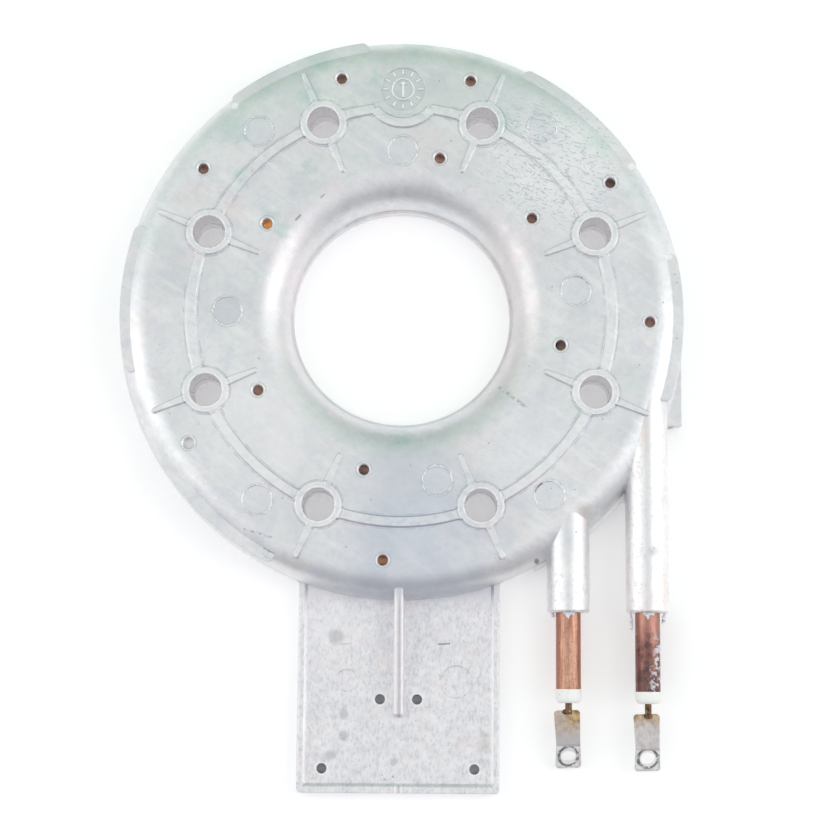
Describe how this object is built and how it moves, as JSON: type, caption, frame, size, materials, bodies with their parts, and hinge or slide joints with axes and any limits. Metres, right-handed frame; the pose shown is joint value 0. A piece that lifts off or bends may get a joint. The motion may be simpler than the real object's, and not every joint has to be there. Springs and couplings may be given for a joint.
{
  "type": "cast-in ring heater",
  "caption": "Flat die-cast ring heater with a copper-sheathed tubular element cast in, bolt bosses, a bolting plate and two tab terminals.",
  "frame": {"origin": "centre of the bore at the flat back face", "axes": "+Z along the bore towards the ribbed front, +Y away from the bolting plate and the terminals, +X to the side of the two sleeves"},
  "size_m": [0.1906, 0.2539, 0.0174],
  "materials": {
    "cast_aluminium": "satin, as die-cast, worn",
    "copper_sheath": "oxidised copper",
    "magnesia": "pressed powder",
    "resistance_wire": "drawn wire",
    "pin_steel": "drawn, heat tinted",
    "ceramic": "glazed ceramic",
    "tab_nickel": "nickel plated, heat tinted"
  },
  "bodies": {
    "root": {"ring_casting": "cast_aluminium", "heater_sheath": "copper_sheath", "magnesia_fill": "magnesia", "resistance_coil": "resistance_wire", "terminal_pin_long": "pin_steel", "terminal_pin_short": "pin_steel", "ceramic_bead_long": "ceramic", "ceramic_bead_short": "ceramic", "terminal_tab_long": "tab_nickel", "terminal_tab_short": "tab_nickel"}
  },
  "joints": []
}
